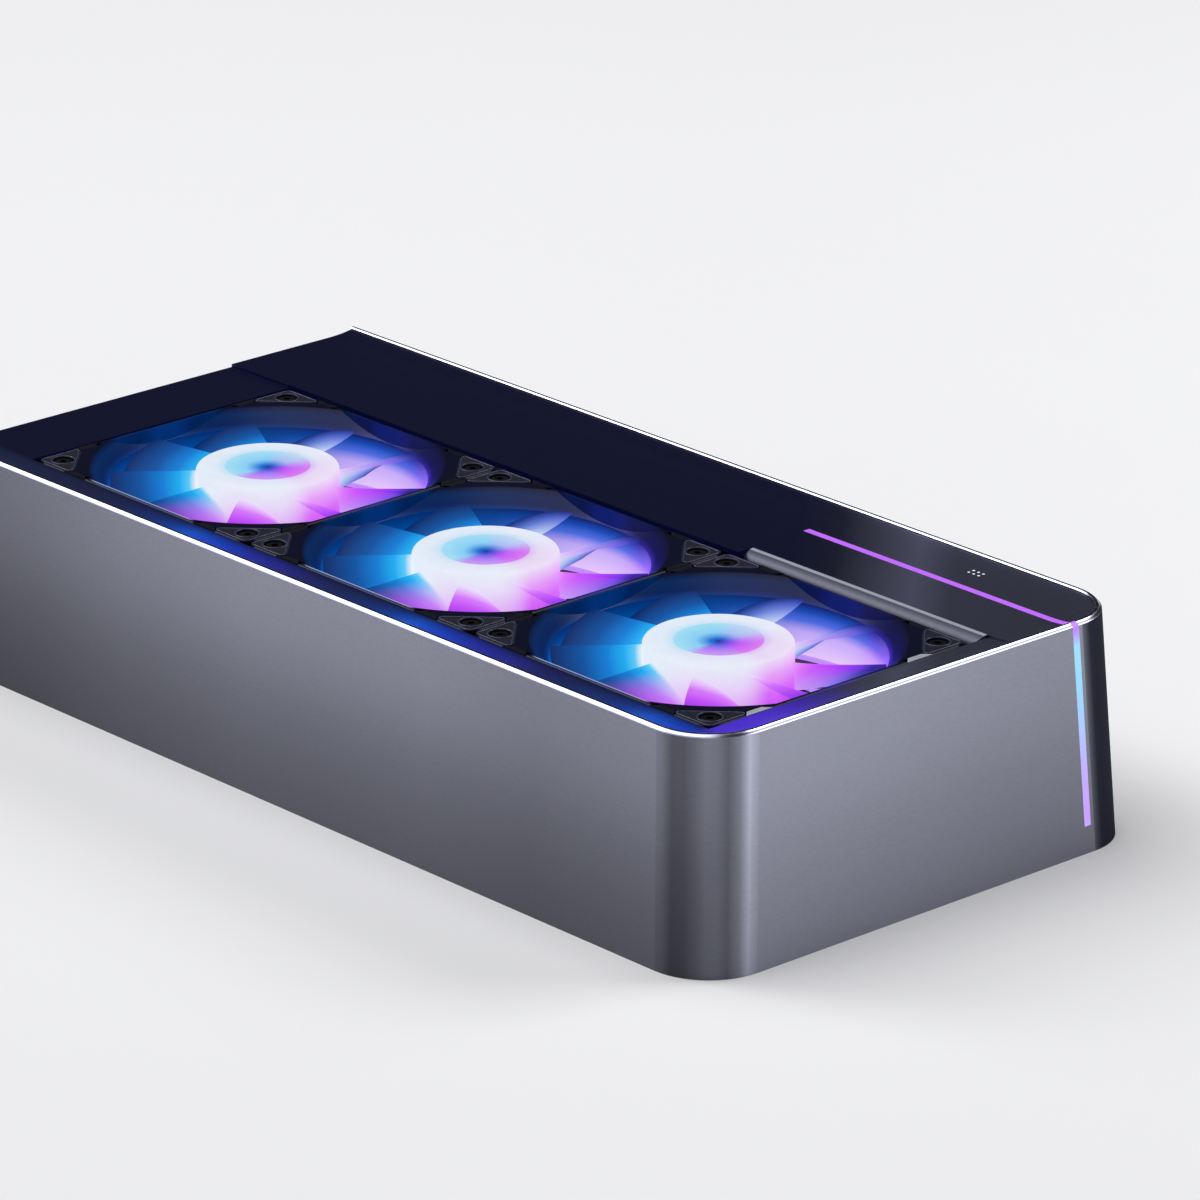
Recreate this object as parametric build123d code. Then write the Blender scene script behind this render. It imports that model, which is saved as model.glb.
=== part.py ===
"""Liquid cooling radiator in its housing, in millimetres.

A row of three 120 mm fans blows up through a 27 mm radiator. A steel tray carries both, and a
flared aluminium shell with a dark top panel encloses them. The origin is at the bottom centre,
+X runs along the fan row, +Y goes from the fans to the deck, and +Z is up.
"""
from build123d import *
from math import cos, radians, sin, tan
import os

os.makedirs("parts", exist_ok=True)

PAST = 1.0  # how far a cutting solid runs past the face that it cuts
SLACK = 0.05  # between pieces that fit into each other

# Fans: the common 120 mm frame. Heights within a fan are from its own bottom face.
FANS = 3
FAN = 120.0  # pitch of the row
FAN_SIDE = 119.8
FAN_DEPTH = 25.0
FAN_CORNER_R = 6.0
HOLE_PITCH = 105.0
HOLE_R = 2.2
HOLES = [(sx * HOLE_PITCH / 2, sy * HOLE_PITCH / 2) for sx in (-1, 1) for sy in (-1, 1)]
FRAME_BEVEL = 0.5
DUCT_R = 58.0
MOUTH_R = 64.5  # the duct opens out to this at the top, and the thin side walls cut it flat
MOUTH_DEPTH = 6.0
MOUTH_WALL = 1.7
POCKET_FROM = 42.0  # the corners are hollow from here out, between two flanges
POCKET_Z = (4.0, FAN_DEPTH - MOUTH_DEPTH - 2.0)
BOSS_R = 4.0
HUB_R = 26.0
HUB_Z = (3.6, FAN_DEPTH - 0.6)
HUB_WALL = 2.0
CAP_R = 15.6
CAP_T = 1.2
CAP_DISH_R = 150.0  # radius of the shallow dish in the cap
CAP_DISH_DEPTH = 0.7
BLADES = 9
BLADE_Z = (4.0, FAN_DEPTH - 2.0)
BLADE_T = 1.6
BLADE_SECTIONS = (  # radius, chord, angle from level in degrees, sweep, camber
    (24.5, 24.0, 45.0, -1.0, 2.4),
    (42.0, 33.0, 30.0, 1.5, 2.8),
    (59.0, 43.0, 24.0, 5.0, 3.0),
)
TIP_GAP = 1.0
SHAFT_R = 1.5
SHAFT_Z = (3.2, FAN_DEPTH - 2.9)
RUN_CLEARANCE = 0.03
BEARING_R = 4.0
BEARING_Z = (2.0, 17.0)
POST_R = 6.0
BASE_DISC_R = 23.0
BASE_DISC_T = 2.6
STRUTS = 5
STRUT = (4.4, 3.0)  # width, height
STATOR_R = 19.5
STATOR_Z = (7.0, 14.0)
STATOR_HUB_R = 9.0
POLES = 4
POLE_W = 6.0
COIL_X = (9.2, 16.3)
COIL_T = 3.45
SIDE_LIGHTS = 12
PAD_LEG = 21.0
PAD_T = 2.2
PAD_INSET = 0.8
PAD_CORNER_R = 2.5
CLIP_AT = 37.0
CLIP = (12.0, 2.8, 1.4)  # length, depth, height
SCREW_R = 1.7
SCREW_HEAD_R = 3.3
SCREW_HEAD_T = 1.9
SOCKET_R = 1.35
SOCKET_DEPTH = 1.4

# Heights above the surface that the housing stands on.
RIM_Z = 84.0
FAN_TOP_Z = 81.0
DECK_Z = 82.2
PANEL_EDGE_Z = 83.0
FAN_SIDE_Z = 81.1  # where the panel meets the fans
PLATE = 1.5  # steel sheet of the tray and end plate
FAN_Z = FAN_TOP_Z - FAN_DEPTH
RADIATOR_DEPTH = 27.0
RADIATOR_Z = FAN_Z - PLATE - RADIATOR_DEPTH
RADIATOR_TOP_Z = RADIATOR_Z + RADIATOR_DEPTH

# Housing plan, measured from the fan row's outline to the rim's outer edge.
MARGIN = 16.8  # at the front and the right-hand end
DECK_REACH = 61.0  # behind the row
LEFT_REACH = 34.0  # to the outer face of the end plate
DRAFT = 3.2  # degrees that each wall leans out towards the base
LEAN = tan(radians(DRAFT))
WALL = 2.4
CORNER_R = 24.0
FLANGE = 14.0
FLANGE_T = 2.0
RIM_OUTER = 1.1  # bevel on the outside of the rim
RIM_INNER = 0.5

ROW = FANS * FAN
FLARE = RIM_Z * LEAN
LENGTH = LEFT_REACH + ROW + MARGIN + FLARE
WIDTH = FLARE + MARGIN + FAN + DECK_REACH + FLARE
LEFT_X = -LENGTH / 2
ROW_X = LEFT_X + LEFT_REACH + ROW / 2
ROW_Y = -WIDTH / 2 + FLARE + MARGIN + FAN / 2
FAN_CENTRES = [ROW_X + (k - (FANS - 1) / 2) * FAN for k in range(FANS)]
RIGHT_RIM_X = ROW_X + ROW / 2 + MARGIN
FRONT_RIM_Y = ROW_Y - FAN / 2 - MARGIN
BACK_RIM_Y = ROW_Y + FAN / 2 + DECK_REACH

# Top panel.
PANEL_T = 1.8
PANEL_UNDER_Z = DECK_Z - PANEL_T
PANEL_INSET = WALL + 0.15
FAN_GAP = 0.6  # around the row
DECK_CURL = 10.5
FAN_SIDE_CURL = 14.2
CURL_STEPS = 4
PIN_R = 0.5
PIN_PITCH = 2.4
PIN_AT = (ROW_X + 133.1, ROW_Y + 106.1)
PINS = [(PIN_AT[0] + PIN_PITCH * i, PIN_AT[1] + PIN_PITCH * j) for i in range(3) for j in range(2)]

# Ridge between the last fan and the deck.
RIDGE_X = (ROW_X + 65.0, ROW_X + 181.0)
RIDGE_BACK_Y = ROW_Y + 67.5
RIDGE_R = 6.0
RIDGE_END_R = 4.5
RIDGE_FOOT = 8.0  # reach of its foot under the deck
RIDGE_GAP = 0.2

# Light line: a strip let into the deck that climbs the panel, crosses the rim and runs down the end.
LINE_W = 3.0
LINE_T = 2.2
LINE_X = ROW_X + 64.0
LINE_Y = ROW_Y + 94.0
LINE_FOOT_Z = 10.0
BOARD_T = 1.0
BOARD_W = 8.0
LIGHT_PITCH = 8.0
LIGHT = (3.0, 3.0, 0.8)

# Radiator core.
TUBES = 12
TUBE_PITCH = 9.2
TUBE_T = 2.0
TUBE_WALL = 0.3
TUBE_YS = [ROW_Y + (i - (TUBES - 1) / 2) * TUBE_PITCH for i in range(TUBES)]
CORE_DEPTH = 20.0
CORE_LENGTH = ROW
CORE_Z = RADIATOR_Z + (RADIATOR_DEPTH - CORE_DEPTH) / 2
FIN_PITCH = 3.0
FIN_T = 0.25
FIN_GAP = 0.1
FIN_END = 2.0
HEADER_T = 2.0
RADIATOR_WIDTH = 118.0
RAIL_T = 1.5
RAIL_FLANGE = 11.0

# Tanks and ports.
PORT_TANK = 20.0
RETURN_TANK = 10.0
TANK_WALL = 1.6
TANK_EDGE_R = 3.0
PORT_TANK_X = (ROW_X - CORE_LENGTH / 2 - HEADER_T - PORT_TANK, ROW_X - CORE_LENGTH / 2 - HEADER_T)
RETURN_TANK_X = (ROW_X + CORE_LENGTH / 2 + HEADER_T, ROW_X + CORE_LENGTH / 2 + HEADER_T + RETURN_TANK)
PORT_R = 5.9
PORT_BOSS_R = 9.5
PORT_SPACING = 46.0
PORT_DEPTH = 10.0
BOSS_REACH = 4.0
PORT_Z = RADIATOR_Z + RADIATOR_DEPTH / 2
PORT_YS = (ROW_Y - PORT_SPACING / 2, ROW_Y + PORT_SPACING / 2)
PLUG_R = 5.9
PLUG_HEAD_R = 8.0
PLUG_HEAD_T = 3.0
PLUG_DEPTH = 5.0
PLUG_SLOT = 1.6
PLUG_X = PORT_TANK_X[0] + PORT_TANK / 2 - 1.0
SEAL_T = 1.2

# Tray, feet, and the holes that fasten the housing down.
LEG_AT = (-150.0, -50.0, 50.0, 150.0)
LEG_WIDTH = 26.0
LEG_Y = FAN / 2 + 0.5  # inner faces of the tray legs
BASE_HOLE_R = 2.25
FLANGE_HOLES_Y = (-WIDTH / 2 + WALL + FLANGE / 2, WIDTH / 2 - WALL - FLANGE / 2)
BACK_FOOT = 13.0
BACK_FOOT_HOLE = 7.5
TRAY_SCREW_R = 1.5
TRAY_SCREW_HEAD = (2.6, 1.6)  # radius, height
TRAY_SCREWS = [(ROW_X + x + dx, FLANGE_HOLES_Y[0]) for x in LEG_AT for dx in (-9.0, 9.0)]
POST_PANEL_R = 3.0
POST_INSET = 4.5  # from the flange's holes

# End plate.
GROMMET_R = 13.5
GROMMET_WALL = 1.5
CABLE_SLOT = ((ROW_Y + 76.0, ROW_Y + 108.0), (20.0, 36.0))
END_FOOT = 12.0


def box(x, y, z):
    """A box between two corners, given as (low, high) pairs."""
    size = (x[1] - x[0], y[1] - y[0], z[1] - z[0])
    return Pos((x[0] + x[1]) / 2, (y[0] + y[1]) / 2, (z[0] + z[1]) / 2) * Box(*size)


def rod(radius, low, high, x=0.0, y=0.0):
    """An upright cylinder between two heights."""
    return Pos(x, y, (low + high) / 2) * Cylinder(radius, high - low)


def ring(outer, inner, low, high):
    return rod(outer, low, high) - rod(inner, low - PAST, high + PAST)


def along_x(radius, low, high, y, z):
    """A cylinder lying along X."""
    return Pos((low + high) / 2, y, z) * Rot(0, 90, 0) * Cylinder(radius, high - low)


def about(middle, size):
    """The (low, high) pair of a length about its middle."""
    return (middle - size / 2, middle + size / 2)


def turned(shape, count, first=0.0):
    """Copies of a shape, evenly spaced round the upright axis."""
    return [Rot(0, 0, first + 360 / count * k) * shape for k in range(count)]


def joined(shapes):
    """Fuses a list of shapes into one."""
    return shapes[0].fuse(*shapes[1:]) if len(shapes) > 1 else shapes[0]


def save(name, *shapes):
    solids = [s for shape in shapes for s in shape.solids()]
    export_step(Compound(children=solids), f"parts/{name}.step")


# ---------------------------------------------------------------- housing


def plan(z, inset):
    """The housing's rounded outline at height z, drawn in from the outer wall by inset.

    It runs on past the left end, where every housing piece is cut square."""
    out = (RIM_Z - z) * LEAN - inset
    right, left = RIGHT_RIM_X + out, LEFT_X - 2 * CORNER_R
    front, back = FRONT_RIM_Y - out, BACK_RIM_Y + out
    outline = RectangleRounded(right - left, back - front, CORNER_R - inset)
    return Pos((right + left) / 2, (front + back) / 2, z) * outline


def tapered(low, high, inset_low, inset_high):
    """The space inside the flared outline between two heights."""
    return loft([plan(low, inset_low), plan(high, inset_high)], ruled=True)


def housing_block():
    """The housing as a solid block with its rim bevelled."""
    shoulder = RIM_Z - RIM_OUTER
    block = tapered(0, shoulder, 0, 0).fuse(tapered(shoulder, RIM_Z, 0, RIM_OUTER))
    return block & box((LEFT_X, LENGTH), (-WIDTH, WIDTH), (-PAST, RIM_Z + PAST))


def housing_space(low):
    """The space inside the walls, from a given height up through the rim."""
    shoulder = RIM_Z - RIM_INNER
    above = tapered(shoulder, RIM_Z + SLACK, WALL, WALL - RIM_INNER)
    return tapered(low, shoulder, WALL, WALL).fuse(above)


def line_slot():
    """The light line's slot down the end wall. It leans with the corner, so it is a skewed prism."""
    ends = []
    for z in (LINE_FOOT_Z, RIM_Z + PAST):
        shift = (RIM_Z - z) * LEAN
        ends.append(Pos(RIGHT_RIM_X + shift, LINE_Y + shift, z) * Rectangle(WALL * 6, LINE_W))
    return loft(ends, ruled=True)


def make_shell():
    """The flared wall, with a flange turned in along its foot."""
    window = tapered(-PAST, FLANGE_T + SLACK, WALL + FLANGE, WALL + FLANGE)
    places = [(ROW_X + x, y) for x in LEG_AT for y in FLANGE_HOLES_Y]
    holes = [rod(BASE_HOLE_R, -PAST, FLANGE_T + PAST, x, y) for x, y in places]
    return housing_block() - housing_space(FLANGE_T) - window - joined(holes) - line_slot()


def dish(floor_z, reach):
    """The space over a panel that is flat in the middle and curls up to its edge."""
    sections = []
    for step in range(CURL_STEPS + 1):
        along = step / CURL_STEPS
        z = floor_z + (PANEL_EDGE_Z - floor_z) * along**2
        sections.append(plan(z, PANEL_INSET + reach * (1 - along)))
    above = tapered(PANEL_EDGE_Z, RIM_Z + PAST, PANEL_INSET, PANEL_INSET)
    return loft(sections, ruled=True).fuse(above)


def make_top_panel():
    """Dark panel around the fans. The deck behind them is level, and its edges curl up to the rim."""
    high = RIM_Z + PAST
    right = box((LEFT_X, LENGTH), (-WIDTH, WIDTH), (0, high))
    skin = tapered(PANEL_UNDER_Z, PANEL_EDGE_Z, PANEL_INSET, PANEL_INSET) & right
    beside_fans = box((-LENGTH, RIDGE_X[0]), (-WIDTH, ROW_Y + FAN / 2), (0, high))
    beside_fans += box((RIDGE_X[0], LENGTH), (-WIDTH, RIDGE_BACK_Y), (0, high))
    skin = skin - dish(DECK_Z, DECK_CURL) - (dish(FAN_SIDE_Z, FAN_SIDE_CURL) & beside_fans)
    fans = box(about(ROW_X, ROW + 2 * FAN_GAP), about(ROW_Y, FAN + 2 * FAN_GAP), (0, high))
    ridge_x = (RIDGE_X[0] - RIDGE_GAP, RIDGE_X[1] + RIDGE_GAP)
    ridge = box(ridge_x, (ROW_Y, RIDGE_BACK_Y + RIDGE_GAP), (0, high))
    pins = [rod(PIN_R, 0, RIM_Z, x, y) for x, y in PINS]
    return skin - fans - ridge - joined(pins) - make_deck_line()


def make_deck_line():
    """The light strip along the deck and up the curl to the inside of the rim, as one bent bar."""
    end_x = RIGHT_RIM_X - PANEL_INSET
    curl = []
    for step in range(CURL_STEPS + 1):
        along = step / CURL_STEPS
        curl.append((end_x - DECK_CURL * (1 - along), DECK_Z + (PANEL_EDGE_Z - DECK_Z) * along**2))
    top = [(LINE_X, DECK_Z), *curl]
    bottom = [(x, z - LINE_T) for x, z in reversed(top)]
    side = Plane.XZ * make_face(Polyline(*top, *bottom, close=True))
    return Pos(0, LINE_Y + LINE_W / 2, 0) * extrude(side, LINE_W)


def make_wall_line():
    """The light strip across the rim and down the end wall, filling the wall's slot."""
    return (housing_block() - housing_space(0)) & line_slot()


def make_ridge():
    """A rolled lip that rises from the fans' back edge to the deck, on a foot under the deck."""
    back, front = RIDGE_BACK_Y, RIDGE_BACK_Y - RIDGE_R
    heel = back + RIDGE_FOOT
    low = DECK_Z - RIDGE_R - 1.0
    edges = [
        CenterArc((back, DECK_Z - RIDGE_R), RIDGE_R, 90, 90),
        Line((front, DECK_Z - RIDGE_R), (front, low)),
        Line((front, low), (heel, low)),
        Line((heel, low), (heel, PANEL_UNDER_Z)),
        Line((heel, PANEL_UNDER_Z), (back, PANEL_UNDER_Z)),
        Line((back, PANEL_UNDER_Z), (back, DECK_Z)),
    ]
    left, right = RIDGE_X
    bar = Pos(left, 0, 0) * extrude(Plane.YZ * make_face(edges), right - left)
    outline = make_face(Polyline((left, front), (right, front), (right, heel), (left, heel), close=True))
    corner = outline.vertices().group_by(Axis.X)[-1].sort_by(Axis.Y)[0]
    return bar & extrude(Pos(0, 0, low) * fillet(corner, RIDGE_END_R), DECK_Z - low)


def make_end_plate():
    """Sheet that closes the left end, with two hose holes and a slot for the cables."""
    sheet = (LEFT_X, LEFT_X + PLATE)
    inside = tapered(FLANGE_T, PANEL_UNDER_Z, WALL + RIDGE_GAP, WALL + RIDGE_GAP)
    plate = inside & box(sheet, (-WIDTH, WIDTH), (0, RIM_Z))
    between_posts = about(ROW_Y, FAN - 4)
    foot = box((LEFT_X, LEFT_X + END_FOOT), between_posts, (0, PLATE))
    foot += box(sheet, between_posts, (0, FLANGE_T + PAST))
    through = (LEFT_X - PAST, LEFT_X + 2 * PLATE)
    hoses = [along_x(GROMMET_R, *through, y, PORT_Z) for y in PORT_YS]
    return plate + foot - joined(hoses) - box(through, *CABLE_SLOT)


def make_grommets():
    """Rubber rings that line the hose holes, with a lip on the inside."""
    face = LEFT_X + PLATE
    rings = []
    for y in PORT_YS:
        body = along_x(GROMMET_R, LEFT_X, face, y, PORT_Z)
        lip = along_x(GROMMET_R + GROMMET_WALL, face, face + GROMMET_WALL, y, PORT_Z)
        bore = along_x(GROMMET_R - GROMMET_WALL, LEFT_X - PAST, face + 2 * GROMMET_WALL, y, PORT_Z)
        rings.append(body.fuse(lip) - bore)
    return rings


def make_posts():
    """Posts that carry the panel from the shell's flange."""
    ys = (FLANGE_HOLES_Y[0] + POST_INSET, FLANGE_HOLES_Y[1] - POST_INSET)
    xs = [ROW_X + x for x in (-100.0, 0.0, 100.0)]
    return [rod(POST_PANEL_R, FLANGE_T, PANEL_UNDER_Z, x, y) for y in ys for x in xs]


def make_pins():
    """Six pin lights moulded on one base under the deck."""
    middle = (PIN_AT[0] + PIN_PITCH, PIN_AT[1] + PIN_PITCH / 2)
    low = PANEL_UNDER_Z - 1.5
    base = box(about(middle[0], 4 * PIN_PITCH), about(middle[1], 3 * PIN_PITCH), (low, PANEL_UNDER_Z))
    return joined([base, *[rod(PIN_R, low + 1.0, DECK_Z, x, y) for x, y in PINS]])


def make_deck_board():
    """Circuit strip under the deck's light line, with small lights along it."""
    top = DECK_Z - LINE_T - BOARD_T
    end = RIGHT_RIM_X - WALL - DECK_CURL - 2.0
    strip = box((LINE_X, end), about(LINE_Y, BOARD_W), (top - BOARD_T, top))
    length, width, height = LIGHT
    starts = [LINE_X + length + LIGHT_PITCH * i for i in range(int((end - LINE_X) // LIGHT_PITCH))]
    lights = [box((x, x + length), about(LINE_Y, width), (top, top + height)) for x in starts]
    return joined([strip, *lights])


def make_wall_board():
    """Circuit strip behind the end wall's light line, leaning with it."""
    ends = []
    for z in (LINE_FOOT_Z + BOARD_W / 2, DECK_Z - BOARD_W):
        shift = (RIM_Z - z) * LEAN
        x = RIGHT_RIM_X + shift - WALL - 2 * SLACK - BOARD_T / 2
        ends.append(Pos(x, LINE_Y + shift, z) * Rectangle(BOARD_T, BOARD_W))
    return loft(ends, ruled=True)


# ---------------------------------------------------------------- tray


def make_tray():
    """Plate that the fans stand on, with a window under each."""
    plate = box(about(ROW_X, ROW + 4), about(ROW_Y, 2 * LEG_Y + 2 * PLATE), (FAN_Z - PLATE, FAN_Z))
    through = (FAN_Z - PLATE - PAST, FAN_Z + PAST)
    cuts = [rod(DUCT_R - 1, *through, x, ROW_Y) for x in FAN_CENTRES]
    cuts += [rod(HOLE_R, *through, x + dx, ROW_Y + dy) for x in FAN_CENTRES for dx, dy in HOLES]
    return plate - joined(cuts)


def make_tray_legs():
    """Bent brackets welded under the tray's edges. The front feet stand on the shell's flange."""
    front, back = ROW_Y - LEG_Y, ROW_Y + LEG_Y
    front_foot = (FLANGE_HOLES_Y[0] - 5, front)
    back_foot = (back, back + BACK_FOOT)
    legs = []
    for x in LEG_AT:
        middle = ROW_X + x
        wide = about(middle, LEG_WIDTH)
        fore = box(wide, (front - PLATE, front), (FLANGE_T, FAN_Z - PLATE))
        fore += box(wide, front_foot, (FLANGE_T, FLANGE_T + PLATE))
        near = [place for place in TRAY_SCREWS if abs(place[0] - middle) < LEG_WIDTH]
        screws = [rod(TRAY_SCREW_R, 0, 4 * PLATE, *place) for place in near]
        bolt = rod(BASE_HOLE_R, 0, 4 * PLATE, middle, FLANGE_HOLES_Y[0])
        legs.append(fore - joined([bolt, *screws]))
        rear = box(wide, (back, back + PLATE), (0, FAN_Z - PLATE)) + box(wide, back_foot, (0, PLATE))
        legs.append(rear - rod(BASE_HOLE_R, -PAST, 2 * PLATE, middle, back + BACK_FOOT_HOLE))
    return legs


def make_tray_screws():
    """Short screws that hold the front feet to the flange."""
    top = FLANGE_T + PLATE
    head_r, head_t = TRAY_SCREW_HEAD
    one = rod(TRAY_SCREW_R - SLACK, FLANGE_T, top) + rod(head_r, top, top + head_t)
    one -= extrude(Pos(0, 0, top + head_t - 1.0) * RegularPolygon(SOCKET_R, 6), 1.0 + PAST)
    return [Pos(x, y, 0) * one for x, y in TRAY_SCREWS]


# ---------------------------------------------------------------- radiator


def along_tube(x, y):
    """The plane across a tube, whose middle is at x and y."""
    return Plane((x, y, CORE_Z + CORE_DEPTH / 2), x_dir=(0, 1, 0), z_dir=(1, 0, 0))


def make_tubes():
    """Flat tubes with round edges that carry the coolant between the tanks."""
    outside = SlotOverall(CORE_DEPTH, TUBE_T, rotation=90)
    inside = SlotOverall(CORE_DEPTH - 2 * TUBE_WALL, TUBE_T - 2 * TUBE_WALL, rotation=90)
    start = ROW_X - CORE_LENGTH / 2 - HEADER_T
    return [extrude(along_tube(start, y) * (outside - inside), CORE_LENGTH + 2 * HEADER_T) for y in TUBE_YS]


def fin_strip(low, high):
    """One corrugated ribbon between two tubes."""
    near, far = low + FIN_GAP, high - FIN_GAP
    count = int((CORE_LENGTH - 2 * FIN_END) // FIN_PITCH)
    start = ROW_X - count * FIN_PITCH / 2
    ridge = [(start + i * FIN_PITCH, near if i % 2 else far - FIN_T) for i in range(count + 1)]
    back = [(x, min(y + FIN_T * 1.6, far)) for x, y in reversed(ridge)]
    face = make_face(Polyline(*ridge, *back, close=True))
    return extrude(Pos(0, 0, CORE_Z) * face, CORE_DEPTH)


def make_fins():
    """Ribbons between the tubes, and between the outer tubes and the rails."""
    half = TUBE_T / 2
    lows = [ROW_Y - RADIATOR_WIDTH / 2 + RAIL_T, *[y + half for y in TUBE_YS]]
    highs = [*[y - half for y in TUBE_YS], ROW_Y + RADIATOR_WIDTH / 2 - RAIL_T]
    return [fin_strip(low, high) for low, high in zip(lows, highs)]


def make_header(side):
    """Plate that the tube ends are brazed into."""
    x = ROW_X + side * (CORE_LENGTH / 2 + HEADER_T / 2)
    plate = box(about(x, HEADER_T), about(ROW_Y, RADIATOR_WIDTH), (RADIATOR_Z, RADIATOR_TOP_Z))
    slot = SlotOverall(CORE_DEPTH, TUBE_T, rotation=90)
    slots = [extrude(along_tube(x - HEADER_T, y) * slot, 2 * HEADER_T) for y in TUBE_YS]
    return plate - joined(slots)


def tank_shell(low, high):
    """A hollow box tank with rounded edges, open towards the tubes."""
    solid = Pos((low + high) / 2, ROW_Y, PORT_Z) * Box(high - low, RADIATOR_WIDTH, RADIATOR_DEPTH)
    outward = Axis.X if low > ROW_X else -Axis.X
    far = solid.faces().sort_by(outward)[-1]
    solid = fillet(far.edges(), TANK_EDGE_R)
    inner_x = (low + TANK_WALL, high + PAST) if low < ROW_X else (low - PAST, high - TANK_WALL)
    inner_z = (RADIATOR_Z + TANK_WALL, RADIATOR_TOP_Z - TANK_WALL)
    return solid - box(inner_x, about(ROW_Y, RADIATOR_WIDTH - 2 * TANK_WALL), inner_z)


def make_port_tank():
    """Inlet and outlet tank: two threaded ports in its end and a fill port on top."""
    start = PORT_TANK_X[0] - BOSS_REACH
    end = start + PORT_DEPTH
    bosses = [along_x(PORT_BOSS_R, start, end, y, PORT_Z) for y in PORT_YS]
    bores = [along_x(PORT_R, start - PAST, end + PAST, y, PORT_Z) for y in PORT_YS]
    divider_x = (PORT_TANK_X[0] + TANK_WALL / 2, PORT_TANK_X[1])
    divider_z = (RADIATOR_Z + TANK_WALL / 2, RADIATOR_TOP_Z - TANK_WALL / 2)
    divider = box(divider_x, about(ROW_Y, TUBE_T), divider_z)
    seat = rod(PLUG_R + 2.6, RADIATOR_TOP_Z - PLUG_DEPTH - 1.0, RADIATOR_TOP_Z, PLUG_X, ROW_Y)
    filler = rod(PLUG_R, RADIATOR_TOP_Z - PLUG_DEPTH, RADIATOR_TOP_Z + PAST, PLUG_X, ROW_Y)
    return joined([tank_shell(*PORT_TANK_X), *bosses, divider, seat]) - joined(bores) - filler


def make_return_tank():
    return tank_shell(*RETURN_TANK_X)


def make_rail(side):
    """Channel along the core, with the standard screw holes in its top and bottom flanges."""
    outer = ROW_Y + side * RADIATOR_WIDTH / 2
    inner = outer - side * RAIL_T
    lip = outer - side * RAIL_FLANGE
    length = about(ROW_X, CORE_LENGTH)
    web = box(length, sorted((outer, inner)), (RADIATOR_Z, RADIATOR_TOP_Z))
    lower = box(length, sorted((outer, lip)), (RADIATOR_Z, RADIATOR_Z + RAIL_T))
    upper = box(length, sorted((outer, lip)), (RADIATOR_TOP_Z - RAIL_T, RADIATOR_TOP_Z))
    y = ROW_Y + side * HOLE_PITCH / 2
    xs = [x + dx for x in FAN_CENTRES for dx in (-HOLE_PITCH / 2, HOLE_PITCH / 2)]
    holes = [rod(SCREW_R + SLACK, RADIATOR_Z - PAST, RADIATOR_TOP_Z + PAST, x, y) for x in xs]
    return joined([web, lower, upper]) - joined(holes)


def make_plug():
    """Fill plug with a coin slot."""
    under = RADIATOR_TOP_Z + SEAL_T
    top = under + PLUG_HEAD_T
    shank = rod(PLUG_R - SLACK, RADIATOR_TOP_Z - PLUG_DEPTH + 0.5, under, PLUG_X, ROW_Y)
    head = rod(PLUG_HEAD_R, under, top, PLUG_X, ROW_Y)
    slot = box(about(PLUG_X, 2 * PLUG_R), about(ROW_Y, PLUG_SLOT), (top - PLUG_SLOT, top + PAST))
    return shank.fuse(head) - slot


def make_plug_seal():
    seal = ring(PLUG_HEAD_R - 0.4, PLUG_R + 0.1, RADIATOR_TOP_Z, RADIATOR_TOP_Z + SEAL_T)
    return Pos(PLUG_X, ROW_Y, 0) * seal


# ---------------------------------------------------------------- fan, about its own centre, bottom at 0


def corner_areas(inset, leg, low, high):
    """The four corner triangles of the frame, inset from its sides."""
    half = FAN_SIDE / 2 - inset
    triangle = make_face(Polyline((half, half), (half - leg, half), (half, half - leg), close=True))
    triangle = fillet(triangle.vertices(), PAD_CORNER_R)
    return turned(extrude(Pos(0, 0, low) * triangle, high - low), 4)


def fan_mouth():
    """The flared top of the duct, cut flat where it meets the thin side walls."""
    low = FAN_DEPTH - MOUTH_DEPTH
    cone = Pos(0, 0, low + MOUTH_DEPTH / 2) * Cone(DUCT_R, MOUTH_R, MOUTH_DEPTH)
    side = about(0, FAN_SIDE - 2 * MOUTH_WALL)
    return cone & box(side, side, (low, FAN_DEPTH))


def clip_slots():
    """The notches for the clips, two in the top edge of each side."""
    length, depth, height = CLIP
    side = (-FAN_SIDE / 2 - PAST, -FAN_SIDE / 2 + depth)
    tall = (FAN_DEPTH - height, FAN_DEPTH + PAST)
    return [s for at in (-CLIP_AT, CLIP_AT) for s in turned(box(about(at, length), side, tall), 4)]


def make_fan_frame():
    """Square frame with a round duct that flares at the top, and screw bosses between corner flanges."""
    body = extrude(RectangleRounded(FAN_SIDE, FAN_SIDE, FAN_CORNER_R), FAN_DEPTH)
    body = chamfer(body.edges().group_by(Axis.Z)[-1], FRAME_BEVEL)
    body = body - rod(DUCT_R, -PAST, FAN_DEPTH + PAST) - fan_mouth()
    corner = (POCKET_FROM, FAN_SIDE)
    pocket = box(corner, corner, POCKET_Z) - rod(DUCT_R + 2.0, 0, FAN_DEPTH)
    bosses = [rod(BOSS_R, POCKET_Z[0] - 1, POCKET_Z[1] + 1, x, y) for x, y in HOLES]
    body = (body - joined(turned(pocket, 4))).fuse(*bosses)
    cuts = [rod(HOLE_R, -PAST, FAN_DEPTH + PAST, x, y) for x, y in HOLES]
    cuts += corner_areas(PAD_INSET, PAD_LEG, FAN_DEPTH - PAD_T, FAN_DEPTH + PAST)
    cuts += corner_areas(PAD_INSET, PAD_LEG, -PAST, PAD_T)
    return body - joined(cuts + clip_slots())


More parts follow.
